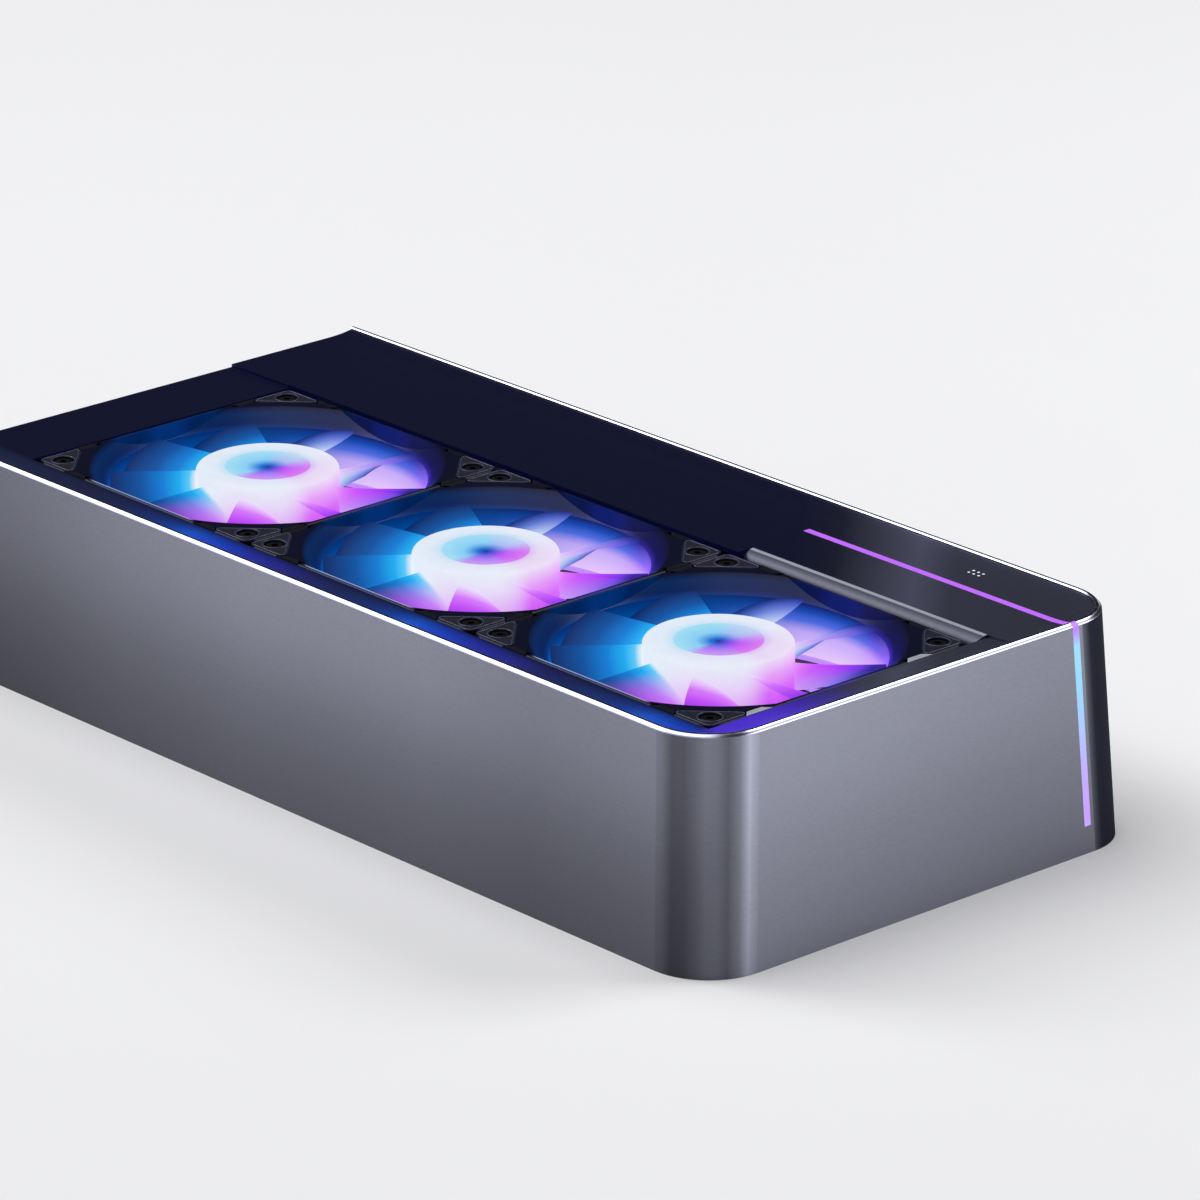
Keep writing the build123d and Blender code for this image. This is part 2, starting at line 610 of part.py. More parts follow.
def make_motor_base():
    """Disc on five struts across the foot of the duct, with a post that holds the bearing."""
    width, height = STRUT
    strut = box((BASE_DISC_R - 1, DUCT_R + 1), about(0, width), (0, height)) & rod(DUCT_R, 0, FAN_DEPTH)
    disc = rod(BASE_DISC_R, 0, BASE_DISC_T)
    spider = disc.fuse(*turned(strut, STRUTS, first=45), rod(POST_R, 0, BEARING_Z[1]))
    return spider - rod(BEARING_R, BEARING_Z[0], FAN_DEPTH)


def make_clips():
    """Metal clips with slanted ends, let into the top edge of all four sides."""
    length, depth, height = CLIP
    outer = -FAN_SIDE / 2 + SLACK
    inner = -FAN_SIDE / 2 + depth
    clips = []
    for at in (-CLIP_AT, CLIP_AT):
        low, high = about(at, length)
        outline = [(low, outer), (high, outer), (high - depth, inner), (low + depth, inner)]
        face = make_face(Polyline(*outline, close=True))
        clips += turned(extrude(Pos(0, 0, FAN_DEPTH - height) * face, height), 4)
    return clips


def make_pads():
    """Rubber corner pads, top and bottom, each with a seat for a screw head or a screw hole."""
    top = corner_areas(PAD_INSET + SLACK, PAD_LEG - 4 * SLACK, FAN_DEPTH - PAD_T, FAN_DEPTH)
    bottom = corner_areas(PAD_INSET + SLACK, PAD_LEG - 4 * SLACK, 0, PAD_T)
    seats = [rod(SCREW_HEAD_R + 0.5, FAN_DEPTH - 2 * PAD_T, FAN_DEPTH + PAST, x, y) for x, y in HOLES]
    holes = [rod(HOLE_R, -PAST, PAD_T + PAST, x, y) for x, y in HOLES]
    return [pad - joined(seats + holes) for pad in top + bottom]


def blade():
    """One swept blade: lens-shaped sections, lofted outwards along X."""
    sections = []
    for radius, chord, angle, sweep, camber in BLADE_SECTIONS:
        along = (0, cos(radians(angle)), -sin(radians(angle)))
        place = Plane((radius, sweep, FAN_DEPTH / 2), x_dir=along, z_dir=(1, 0, 0))
        half = chord / 2
        upper = ThreePointArc((-half, 0), (0, camber + BLADE_T / 2), (half, 0))
        lower = ThreePointArc((half, 0), (0, camber - BLADE_T / 2), (-half, 0))
        sections.append(place * make_face([upper, lower]))
    return loft(sections)


def make_rotor():
    """Hub cup and blades, moulded in one piece. The cup holds the magnet and its top holds the cap."""
    low, high = HUB_Z
    cup = rod(HUB_R, low, high)
    cup = fillet([cup.edges().sort_by(Axis.Z)[-1]], 1.6)
    ceiling = high - 2.4
    cup -= rod(HUB_R - HUB_WALL, low - PAST, ceiling)
    cup -= rod(CAP_R, high - CAP_T, high + PAST)
    boss = rod(4.2, ceiling - 3.0, ceiling)
    swept = ring(DUCT_R - TIP_GAP, HUB_R - 1.0, *BLADE_Z)
    rotor = cup.fuse(boss, *turned(blade() & swept, BLADES))
    return rotor - rod(SHAFT_R, 0, SHAFT_Z[1])


def make_cap():
    """Dished cap in the hub's top."""
    top = HUB_Z[1]
    hollow = Pos(0, 0, top + CAP_DISH_R - CAP_DISH_DEPTH) * Sphere(CAP_DISH_R)
    return rod(CAP_R - SLACK, top - CAP_T, top) - hollow


def make_shaft():
    return rod(SHAFT_R, *SHAFT_Z)


def make_bearing():
    return ring(BEARING_R, SHAFT_R + RUN_CLEARANCE, *BEARING_Z)


def make_magnet():
    outer = HUB_R - HUB_WALL - SLACK
    return ring(outer, outer - 3.0, STATOR_Z[0] - 1.5, STATOR_Z[1] + 2.5)


def make_stator():
    """Four-pole iron core with a winding round each pole."""
    low, high = STATOR_Z
    bore = rod(POST_R + SLACK, 0, FAN_DEPTH)
    stem = box((POST_R, COIL_X[1] + 1), about(0, POLE_W), STATOR_Z)
    shoe = (ring(STATOR_R, COIL_X[1] + 0.2, low, high)) & box((5, FAN), about(0, 3 * POLE_W), STATOR_Z)
    core = joined([rod(STATOR_HUB_R, low, high), *turned(stem, POLES), *turned(shoe, POLES)]) - bore
    gap = SLACK
    winding = box(COIL_X, about(0, POLE_W + 2 * COIL_T), (low - 1.8, high + 1.8))
    coil = winding - box((0, FAN), about(0, POLE_W + 2 * gap), (low - gap, high + gap))
    return [core, *turned(coil, POLES)]


def make_board():
    """Round circuit board on the base, with side lights under the hub's edge."""
    low = BASE_DISC_T + 2 * SLACK
    top = low + 1.2
    board = ring(BASE_DISC_R - 3, POST_R + 2 * SLACK, low, top)
    light = box((16.5, 19.5), about(0, 3), (top, top + 1.0))
    return joined([board, *turned(light, SIDE_LIGHTS)])


def make_screws():
    """Four long screws from the pads down into the radiator's rails."""
    seat = FAN_DEPTH - PAD_T
    top = seat + SCREW_HEAD_T
    tip = -PLATE - RAIL_T - 1.4
    one = rod(SCREW_R, tip, seat) + rod(SCREW_HEAD_R, seat, top)
    one = fillet([one.edges().sort_by(Axis.Z)[-1]], 0.7)
    one -= extrude(Pos(0, 0, top - SOCKET_DEPTH) * RegularPolygon(SOCKET_R, 6), SOCKET_DEPTH + PAST)
    return [Pos(x, y, 0) * one for x, y in HOLES]


# ---------------------------------------------------------------- write the pieces

FAN_PIECES = {
    "frame": make_fan_frame,
    "motor_base": make_motor_base,
    "rotor": make_rotor,
    "hub_cap": make_cap,
    "shaft": make_shaft,
    "bearing": make_bearing,
    "magnet_ring": make_magnet,
    "stator": make_stator,
    "circuit_board": make_board,
    "corner_pads": make_pads,
    "edge_clips": make_clips,
    "screws": make_screws,
}

HOUSING_PIECES = {
    "shell": make_shell,
    "top_panel": make_top_panel,
    "deck_ridge": make_ridge,
    "end_plate": make_end_plate,
    "deck_light_line": make_deck_line,
    "wall_light_line": make_wall_line,
    "deck_led_board": make_deck_board,
    "wall_led_board": make_wall_board,
    "pin_lights": make_pins,
    "panel_posts": make_posts,
    "hose_grommets": make_grommets,
    "fan_tray": make_tray,
    "tray_legs": make_tray_legs,
    "tray_screws": make_tray_screws,
    "radiator_tubes": make_tubes,
    "radiator_fins": make_fins,
    "header_plate_ports": lambda: make_header(-1),
    "header_plate_return": lambda: make_header(1),
    "port_tank": make_port_tank,
    "return_tank": make_return_tank,
    "rail_front": lambda: make_rail(-1),
    "rail_back": lambda: make_rail(1),
    "fill_plug": make_plug,
    "fill_plug_seal": make_plug_seal,
}


def as_list(made):
    return made if isinstance(made, list) else [made]


for name, make in HOUSING_PIECES.items():
    save(name, *as_list(make()))

for name, make in FAN_PIECES.items():
    shapes = as_list(make())
    for number, centre in enumerate(FAN_CENTRES, 1):
        save(f"fan_{number}_{name}", *[Pos(centre, ROW_Y, FAN_Z) * s for s in shapes])

print("length", round(LENGTH, 3), "width", round(WIDTH, 3), "row at", round(ROW_X, 3), round(ROW_Y, 3))
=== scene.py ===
# %% [markdown]
# # A liquid cooling radiator under three lit fans
# The unit is a flared aluminium housing with a row of three fans in its open top. A light strip
# crosses the deck behind the fans and runs down the end wall. Every dimension comes from the CAD
# frame, which is loaded first and never moved: this script adds the finishes, the light and the
# raised lips on the fans' rubber corner pads.

# %% Load the CAD frame
import math

import bpy
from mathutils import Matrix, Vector


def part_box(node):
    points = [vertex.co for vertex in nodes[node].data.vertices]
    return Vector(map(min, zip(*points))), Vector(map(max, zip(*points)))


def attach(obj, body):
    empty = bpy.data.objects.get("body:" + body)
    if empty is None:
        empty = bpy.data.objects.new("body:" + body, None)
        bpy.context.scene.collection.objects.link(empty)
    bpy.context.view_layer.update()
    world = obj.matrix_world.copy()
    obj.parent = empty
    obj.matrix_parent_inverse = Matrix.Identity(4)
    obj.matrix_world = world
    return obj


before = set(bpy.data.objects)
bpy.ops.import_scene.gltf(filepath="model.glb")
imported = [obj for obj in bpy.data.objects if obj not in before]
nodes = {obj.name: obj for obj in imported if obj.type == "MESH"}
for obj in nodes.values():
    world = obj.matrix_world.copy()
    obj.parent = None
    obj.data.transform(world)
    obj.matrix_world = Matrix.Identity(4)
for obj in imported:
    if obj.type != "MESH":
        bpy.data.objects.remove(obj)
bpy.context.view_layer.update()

MM = 0.001
scene = bpy.context.scene

# %% [markdown]
# ## Where things are
# The fans are the natural rulers of this unit: each one is found from the box of its frame, and the
# rim from the box of the shell. The few sizes written out are those of a common 120 mm fan, and
# everything else in the script is placed from these values.

# %% Measure the frame
FANS = (1, 2, 3)
FAN_DEPTH = 25 * MM
FAN_PITCH = 120 * MM
SCREW_SPACING = 105 * MM
DUCT_R = 58 * MM  # the bore that the blades turn in
MOUTH_R = 64.5 * MM  # the bore opens out to this at the fan's top
SIDE_WALL = 58.2 * MM  # from a fan's axis to the inside of its thin side walls


def middle(node):
    """The centre of a CAD node's box."""
    low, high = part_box(node)
    return (Vector(low) + Vector(high)) / 2


fan_middles = {k: middle(f"fan_{k}_frame") for k in FANS}
fan_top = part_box("fan_2_frame")[1][2]
rim_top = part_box("shell")[1][2]
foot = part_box("shell")[0][2]
row_low = Vector(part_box("fan_1_frame")[0])
row_high = Vector(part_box("fan_3_frame")[1])
print("fan tops at", round(fan_top, 4), "rim at", round(rim_top, 4))

# %% [markdown]
# ## The camera
# The unit is seen from its front right corner, a little from above. A long lens from far away keeps
# the edges almost parallel. The camera aims at a point level with the fan tops, between the axes of
# the second and the third fan.

# %% Place the camera
VIEW_AZIMUTH = math.radians(48.05)
VIEW_ELEVATION = math.radians(20.34)
VIEW_DISTANCE = 2.5045
SENSOR = 36.0
LENS = 218.7
AIM_RIGHT = 65.9 * MM  # from the axis of the second fan
AIM_FRONT = 5.4 * MM

aim = Vector((fan_middles[2].x + AIM_RIGHT, fan_middles[2].y - AIM_FRONT, fan_top))
back_off = Vector((
    math.sin(VIEW_AZIMUTH) * math.cos(VIEW_ELEVATION),
    -math.cos(VIEW_AZIMUTH) * math.cos(VIEW_ELEVATION),
    math.sin(VIEW_ELEVATION),
))
camera_data = bpy.data.cameras.new("camera")
camera_data.sensor_width = SENSOR
camera_data.lens = LENS
camera_data.clip_end = 50.0
camera = bpy.data.objects.new("camera", camera_data)
camera.location = aim + back_off * VIEW_DISTANCE
camera.rotation_euler = (math.radians(90) - VIEW_ELEVATION, 0, VIEW_AZIMUTH)
scene.collection.objects.link(camera)
scene.camera = camera
scene.view_settings.view_transform = "Standard"
print("camera at", [round(v, 3) for v in camera.location])

# %% [markdown]
# ## Shader arithmetic
# A finish is a small graph of nodes. The graph could be drawn in the shader editor, or made with a
# long list of node calls. Written as Python expressions it stays readable: a Wire is one value in
# the graph, and arithmetic on wires adds Math nodes.

# %% A wire
class Wire:
    """One value in a finish's graph. Arithmetic on it adds Math nodes."""

    def __init__(self, finish, socket):
        self.finish = finish
        self.socket = socket

    def math(self, operation, *others):
        """This value, with any others, through one Math node."""
        return self.finish.math(operation, self, *others)

    def __add__(self, other):
        return self.math("ADD", other)

    def __sub__(self, other):
        return self.math("SUBTRACT", other)

    def __rsub__(self, other):
        return self.finish.math("SUBTRACT", other, self)

    def __mul__(self, other):
        return self.math("MULTIPLY", other)

    def __truediv__(self, other):
        return self.math("DIVIDE", other)

    def __rtruediv__(self, other):
        return self.finish.math("DIVIDE", other, self)

    def __pow__(self, other):
        return self.math("POWER", other)

    def __rpow__(self, other):
        return self.finish.math("POWER", other, self)

    __radd__ = __add__
    __rmul__ = __mul__


# %% [markdown]
# ## A finish
# A Finish holds one material. Its node method can make every kind of node, and the short methods
# after it name the few that this unit needs: where the point is, which way the surface faces, noise,
# blends of two colours, ramps, soft steps and bump.

# %% A finish and its nodes
class Finish:
    """One material, with the nodes that make it up."""

    def __init__(self, name):
        self.material = bpy.data.materials.new(name)
        self.material.use_nodes = True
        self.tree = self.material.node_tree
        self.shader = self.tree.nodes["Principled BSDF"]

    def feed(self, socket, value):
        """Links a wire to a socket, or sets the socket to a number, colour or vector."""
        if isinstance(value, Wire):
            self.tree.links.new(value.socket, socket)
        elif socket.type == "RGBA":
            socket.default_value = (*value[:3], 1.0)
        else:
            socket.default_value = value

    def lay(self, ramp, stops):
        """Puts a ramp's stops in place."""
        while len(ramp.elements) < len(stops):
            ramp.elements.new(0.5)
        for element, (place, colour) in zip(ramp.elements, stops):
            element.position = place
            element.color = (*colour[:3], 1.0)

    def node(self, kind, settings=None, inputs=None, output=0):
        """Adds a node, applies its settings, feeds its inputs and returns one of its outputs."""
        made = self.tree.nodes.new(kind)
        for name, value in (settings or {}).items():
            if name == "stops":
                self.lay(made.color_ramp, value)
            else:
                setattr(made, name, value)
        for name, value in (inputs or {}).items():
            self.feed(made.inputs[name], value)
        return Wire(self, made.outputs[output])

    def surface(self, **values):
        """Feeds the shader. A name such as Base_Color means the socket Base Color."""
        for name, value in values.items():
            self.feed(self.shader.inputs[name.replace("_", " ")], value)
        return self.material

    def over(self, mask, shader):
        """Covers the surface with another shader where the mask is 1."""
        below = Wire(self, self.shader.outputs[0])
        mixed = self.node("ShaderNodeMixShader", inputs={0: mask, 1: below, 2: shader})
        self.feed(self.tree.nodes["Material Output"].inputs["Surface"], mixed)

    def place(self, still=None):
        """The point being shaded, in metres, in its own piece's frame or in that of a still piece."""
        return self.node("ShaderNodeTexCoord", {"object": still}, output="Object")

    def normal(self):
        """The direction that the surface faces, in the part's own frame."""
        return self.node("ShaderNodeTexCoord", output="Normal")

    def math(self, operation, *values):
        return self.node("ShaderNodeMath", {"operation": operation}, dict(enumerate(values)))

    def part(self, vector, axis):
        return self.node("ShaderNodeSeparateXYZ", inputs={0: vector}, output=axis)

    def scaled(self, vector, x, y, z):
        return self.node("ShaderNodeVectorMath", {"operation": "MULTIPLY"}, {0: vector, 1: (x, y, z)})

    def moved(self, vector, x, y, z):
        """The vector from a point, given as x, y and z."""
        return self.node("ShaderNodeVectorMath", {"operation": "SUBTRACT"}, {0: vector, 1: (x, y, z)})

    def noise(self, vector, scale, detail=2.0):
        return self.node("ShaderNodeTexNoise", inputs={"Vector": vector, "Scale": scale, "Detail": detail})

    def blend(self, kind, mask, first, second):
        """Two colours through one Mix node."""
        settings = {"data_type": "RGBA", "blend_type": kind}
        return self.node("ShaderNodeMix", settings, {0: mask, 6: first, 7: second}, output=2)

    def mix(self, mask, first, second):
        """The first colour where the mask is 0, the second where it is 1."""
        return self.blend("MIX", mask, first, second)

    def times(self, first, second):
        return self.blend("MULTIPLY", 1.0, first, second)

    def plus(self, first, second):
        return self.blend("ADD", 1.0, first, second)

    def tint(self, colour, mask):
        """A colour dimmed by a mask: black where the mask is 0."""
        return self.mix(mask, (0.0, 0.0, 0.0), colour)

    def ramp(self, mask, stops):
        return self.node("ShaderNodeValToRGB", {"stops": stops}, {0: mask})

    def step(self, value, low, high):
        """0 below low, 1 above high, and smooth between them."""
        sockets = {"Value": value, "From Min": low, "From Max": high}
        return self.node("ShaderNodeMapRange", {"interpolation_type": "SMOOTHSTEP"}, sockets)

    def bump(self, height, distance, strength=1.0):
        sockets = {"Height": height, "Distance": distance, "Strength": strength}
        return self.node("ShaderNodeBump", inputs=sockets)


# %% [markdown]
# ## Colours
# Shaders work in linear light, while colours are easier to choose as the 0 to 255 values of a
# screen, so one function turns the second into the first. A CAD node arrives with its shape ready,
# and it only needs its material slots filled.

# %% Colours and dressing
def screen(red, green, blue):
    """A linear colour from the 0 to 255 values that a screen shows."""
    def linear(value):
        value = value / 255
        return value / 12.92 if value <= 0.04045 else ((value + 0.055) / 1.055) ** 2.4
    return linear(red), linear(green), linear(blue)


def grey(value):
    """A grey by its linear value."""
    return (value, value, value)


def dress(material, *names):
    """Gives CAD nodes a finish by filling their material slots."""
    for name in names:
        piece = nodes[name]
        if not piece.material_slots:
            piece.data.materials.append(material)
        for place in piece.material_slots:
            place.material = material
    print(material.name, "on", *names)


print("a middle grey of 128 is", round(screen(128, 128, 128)[0], 3), "in linear light")

# %% [markdown]
# ## Tones of the shell
# The shell is space-grey anodised aluminium. Where a brushed wall bends, the strokes turn with it and
# the metal reflects upright bands, dark and then bright. These reflections are painted: a ramp on the
# direction that the wall faces lays them on the corners, and paints the far corner dark as shade.
# Other ramps paint the fall of the light towards the foot and along each wall as painted shade. The
# bevelled rim is cut after anodising, and its thin bright lines, one on the front and two at the
# right-hand end, are painted highlights.

# %% Ramps of the shell
BRUSHED_TONES = [(0.30, screen(207, 209, 227)), (0.5, screen(220, 223, 244)), (0.70, screen(232, 235, 255))]
# Painted reflection and shade by the way a wall faces: bands on the corners, a dark far corner.
PAINTED_LIGHT_BY_FACING = [  # 0 faces the front, 0.5 the right-hand end and 1 the back
    (0.0, grey(0.46)), (0.03, grey(0.38)), (0.09, grey(0.21)), (0.15, grey(0.23)), (0.20, grey(0.34)),
    (0.246, grey(0.46)), (0.295, grey(0.42)), (0.345, grey(0.27)), (0.40, grey(0.46)), (0.45, grey(0.98)),
    (0.475, grey(0.72)), (0.5, grey(0.62)), (0.53, grey(0.31)), (0.58, grey(0.13)), (0.66, grey(0.035)),
    (0.80, grey(0.045)), (1.0, grey(0.23))]
# Painted fall of light: darker towards the foot, and changing along each wall.
PAINTED_SHADE_UP_FRONT = [(0.0, grey(0.44)), (0.45, grey(0.64)), (1.0, grey(1.0))]  # from the foot to the rim
PAINTED_SHADE_UP_END = [(0.0, grey(0.70)), (0.45, grey(0.80)), (1.0, grey(1.0))]
PAINTED_SHADE_ALONG_FRONT = [  # from left to right
    (0.05, grey(0.60)), (0.13, grey(0.68)), (0.25, grey(0.86)), (0.42, grey(1.0)), (0.66, grey(1.0)),
    (0.80, grey(0.84)), (0.95, grey(0.90))]
PAINTED_SHADE_ALONG_END = [(0.1, grey(1.0)), (0.45, grey(0.93)), (0.85, grey(0.80))]  # from front to back
# Painted highlight lines, with darker bands between them, up the rim's bevel.
FRONT_RIM_HIGHLIGHTS = [  # up the bevel
    (0.0, screen(96, 98, 116)), (0.22, screen(110, 112, 132)), (0.36, screen(186, 188, 204)),
    (0.86, screen(186, 188, 204)), (0.95, screen(84, 86, 108))]
END_RIM_HIGHLIGHTS = [
    (0.0, screen(170, 172, 188)), (0.16, screen(170, 172, 188)), (0.26, screen(92, 94, 112)),
    (0.60, screen(92, 94, 112)), (0.74, screen(204, 206, 220)), (1.0, screen(204, 206, 220))]
print("bands round the walls", len(PAINTED_LIGHT_BY_FACING))

# %% [markdown]
# ## Brushed aluminium
# Brushing level with the floor leaves short fine strokes along the wall, so the noise is squeezed
# along Z and stretched along X and Y, which carries the strokes round the corners as well. A mask on
# height turns the rim into smoother metal. The far right corner stays nearly black on the real wall.
# Bare metal would mirror the pale floor there at a grazing angle, so a dark matt shader covers it as
# painted shade.

# %% Finish of the shell
RIM_BEVEL = 1.1 * MM
FRONT_SPAN = 400 * MM
END_SPAN = 200 * MM


def wall_colour_with_painted_light(f, place, facing, grain, on_end):
    """The grain's tone, times the painted reflection bands of the corners and the painted fall of the light.
    """
    rise = f.step(f.part(place, "Z"), foot, rim_top)
    along_front = f.ramp(f.part(place, "X") / FRONT_SPAN + 0.5, PAINTED_SHADE_ALONG_FRONT)
    along_end = f.ramp(f.part(place, "Y") / END_SPAN + 0.5, PAINTED_SHADE_ALONG_END)
    front = f.times(f.ramp(rise, PAINTED_SHADE_UP_FRONT), along_front)
    end = f.times(f.ramp(rise, PAINTED_SHADE_UP_END), along_end)
    banded = f.times(f.ramp(grain, BRUSHED_TONES), f.ramp(facing, PAINTED_LIGHT_BY_FACING))
    return f.times(banded, f.mix(on_end, front, end))


def brushed_aluminium():
    f = Finish("brushed_aluminium")
    place = f.place()
    faces = f.normal()
    height = f.part(place, "Z")
    strokes = f.noise(f.scaled(place, 420, 420, 7000), 1.0, 3.0)
    flecks = f.noise(f.scaled(place, 3400, 3400, 4600), 1.0, 2.0)
    clouds = f.noise(place, 9.0, 2.0)
    grain = strokes * 0.55 + flecks * 0.45
    facing = f.math("ARCTAN2", f.part(faces, "X"), f.part(faces, "Y") * -1.0) / math.pi
    on_end = f.step(facing, 0.20, 0.42)
    rim = f.step(height, rim_top - RIM_BEVEL - 0.1 * MM, rim_top - RIM_BEVEL)
    up_rim = (height - (rim_top - RIM_BEVEL)) / RIM_BEVEL
    # Painted highlights on the rim, laid by height up its bevel.
    rim_highlights = f.mix(on_end, f.ramp(up_rim, FRONT_RIM_HIGHLIGHTS), f.ramp(up_rim, END_RIM_HIGHLIGHTS))
    walls = wall_colour_with_painted_light(f, place, facing, grain, on_end)
    # Painted shade: a dark matt shader over the far right corner.
    painted_dark_corner = f.step(facing, 0.505, 0.55) * (1 - f.step(facing, 0.84, 0.98)) * (1 - rim)
    f.over(painted_dark_corner * 0.88, f.node("ShaderNodeBsdfDiffuse", inputs={"Color": screen(40, 42, 58)}))
    return f.surface(
        Base_Color=f.mix(rim, walls, rim_highlights), Metallic=1.0,
        Roughness=(0.36 + grain * 0.14 + clouds * 0.05) * (1 - rim * 0.45),
        Normal=f.bump(grain * (1 - rim * 0.8), 0.02 * MM, 0.30))


dress(brushed_aluminium(), "shell")

# %% [markdown]
# ## The fans' light on the panel
# Beside the fans the dark panel picks up their light: azure at the right of each fan, violet at the
# left of the next, so along the front the spill repeats with the pitch of the fans. On the strip at
# the right-hand end only the violet reaches it, and it fades towards the deck. Real light from the
# blades would need far more samples, so the spill is a faint glow of the panel itself.

# %% Spill of light
SPILL = [  # from the axis of one fan to that of the next
    (0.0, screen(17, 30, 74)), (0.17, screen(15, 39, 98)), (0.25, screen(6, 50, 134)),
    (0.34, screen(10, 74, 180)), (0.43, screen(10, 60, 178)), (0.52, screen(16, 50, 168)),
    (0.60, screen(28, 38, 146)), (0.76, screen(30, 30, 120)), (0.86, screen(24, 28, 88)),
    (1.0, screen(17, 30, 74))]


def spill(f, place):
    """The fans' light on the panel in front of them and at the right-hand end."""
    x = f.part(place, "X")
    y = f.part(place, "Y")
    front = f.ramp(((x - fan_middles[1].x) / FAN_PITCH).math("FRACT"), SPILL)
    front = f.mix(f.step(y, row_low.y - 9 * MM, row_low.y - 1 * MM) * 0.6, front, screen(12, 16, 48))
    right_of_first = f.step(x, fan_middles[1].x - 20 * MM, fan_middles[1].x + 24 * MM)
    front = f.mix(right_of_first, screen(17, 24, 44), front)
    before_fans = 1 - f.step(y, row_low.y - 4 * MM, row_low.y + 1 * MM)
    before_end = 1 - f.step(x, row_high.x - 2 * MM, row_high.x + 10 * MM)
    violet = f.tint(screen(72, 42, 196), 1 - f.step(y, row_low.y + 12 * MM, row_low.y + 68 * MM))
    beside_fans = f.step(x, row_high.x - 2 * MM, row_high.x + 2 * MM)
    return f.mix(before_fans * before_end, f.tint(violet, beside_fans), front)


print("spill repeats every", round(FAN_PITCH, 3), "m")

# %% [markdown]
# ## The dark deck
# The panel is anodised almost black, with a finer grain than the shell. Behind the ridge it carries
# one broad soft painted sheen, a ramp that runs slantwise over the deck and leaves the deck's left
# part dark as painted shade. Further left, where no light reaches the deck, a trace of navy is
# painted on as a faint glow.

# %% Finish of the panel
SHEEN_SPAN = 300 * MM
# A painted sheen across the deck, with painted shade on its left part.
PAINTED_SHEEN = [
    (0.48, grey(0.02)), (0.55, grey(0.10)), (0.60, grey(0.45)), (0.64, grey(0.72)), (0.68, grey(1.0)),
    (0.74, grey(0.52)), (0.85, grey(0.46)), (1.0, grey(0.42))]


def deck_black():
    f = Finish("deck_black")
    place = f.place()
    grain = f.noise(place, 2600.0, 2.0)
    clouds = f.noise(place, 14.0, 3.0)
    across = f.moved(place, *fan_middles[2])
    along = (f.part(across, "X") + f.part(across, "Y") * 0.9) / SHEEN_SPAN
    tone = f.mix(grain, screen(114, 117, 146), screen(132, 135, 166))
    # A painted navy glow on the deck's left part.
    painted_navy_glow = f.tint(screen(2, 6, 36), 1 - f.step(along, 0.46, 0.66))
    return f.surface(
        Base_Color=f.times(tone, f.ramp(along, PAINTED_SHEEN)), Metallic=0.85,
        Roughness=0.30 + grain * 0.08 + clouds * 0.07,
        Emission_Color=f.plus(spill(f, place), painted_navy_glow), Emission_Strength=1.0,
        Normal=f.bump(grain, 0.02 * MM, 0.3))


dress(deck_black(), "top_panel")

# %% [markdown]
# ## The rolled ridge
# Between the last fan and the deck a lip rolls over. It gets brighter as it turns up to the light,
# and its crest shows a thin bright edge. Both are painted by height: the brightening as painted
# shade and the edge as a painted highlight.

# %% Finish of the ridge
def ridge_satin():
    f = Finish("ridge_satin")
    place = f.place()
    height = f.part(place, "Z")
    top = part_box("deck_ridge")[1][2]
    grain = f.noise(f.scaled(place, 500, 2400, 2400), 1.0, 2.0)
    # Painted shade, brighter as the lip turns up.
    painted_roll_shade = f.ramp(f.step(height, top - 6 * MM, top), [
        (0.0, screen(8, 9, 14)), (0.5, screen(26, 28, 38)), (0.85, screen(62, 64, 80)),
        (1.0, screen(84, 86, 104))])
    # A painted highlight on the crest.
    painted_crest_highlight = f.step(height, top - 0.30 * MM, top - 0.12 * MM)
    return f.surface(
        Base_Color=f.mix(painted_crest_highlight, painted_roll_shade, screen(196, 198, 214)), Metallic=0.5, Roughness=0.30 + grain * 0.1,
        Normal=f.bump(grain, 0.02 * MM, 0.3))


dress(ridge_satin(), "deck_ridge")

# %% [markdown]
# ## Coatings and bare metals
# Most small parts share two kinds of finish. A painted, coated or moulded surface has soft patches
# and a fine orange peel. Bare metal has fine marks from turning or grinding. One function for each
# kind is enough, with the colour, the roughness and the size of the marks left open.

# %% Two kinds of finish
def coated(name, colour, rough, peel, size):
    """A painted, coated or moulded surface with an orange-peel bump of a given size."""
    f = Finish(name)
    place = f.place()
    bumps = f.noise(place, size, 2.0)
    patches = f.noise(place, 30.0, 2.0)
    darker = tuple(value * 0.7 for value in colour)
    return f.surface(
        Base_Color=f.mix(patches, darker, colour), Metallic=0.0, Roughness=rough + patches * 0.1,
        Normal=f.bump(bumps, peel, 0.4))


def metal(name, colour, rough, turned):
    """Bare metal with fine marks from turning or grinding."""
    f = Finish(name)
    marks = f.noise(f.scaled(f.place(), 300, 300, turned), 1.0, 3.0)
    darker = tuple(value * 0.6 for value in colour)
    return f.surface(
        Base_Color=f.mix(marks, darker, colour), Metallic=1.0, Roughness=rough + marks * 0.15,
        Normal=f.bump(marks, 0.02 * MM, 0.3))


screw_black = metal("screw_black", screen(58, 58, 64), 0.28, 3000.0)
print("made", screw_black.name)

# %% [markdown]
# ## Sheet steel, radiator paint and the rest
# The tray's legs and the end plate are powder coated, and the radiator is sprayed satin black. These
# parts are mostly in shadow, but they show from below and behind.

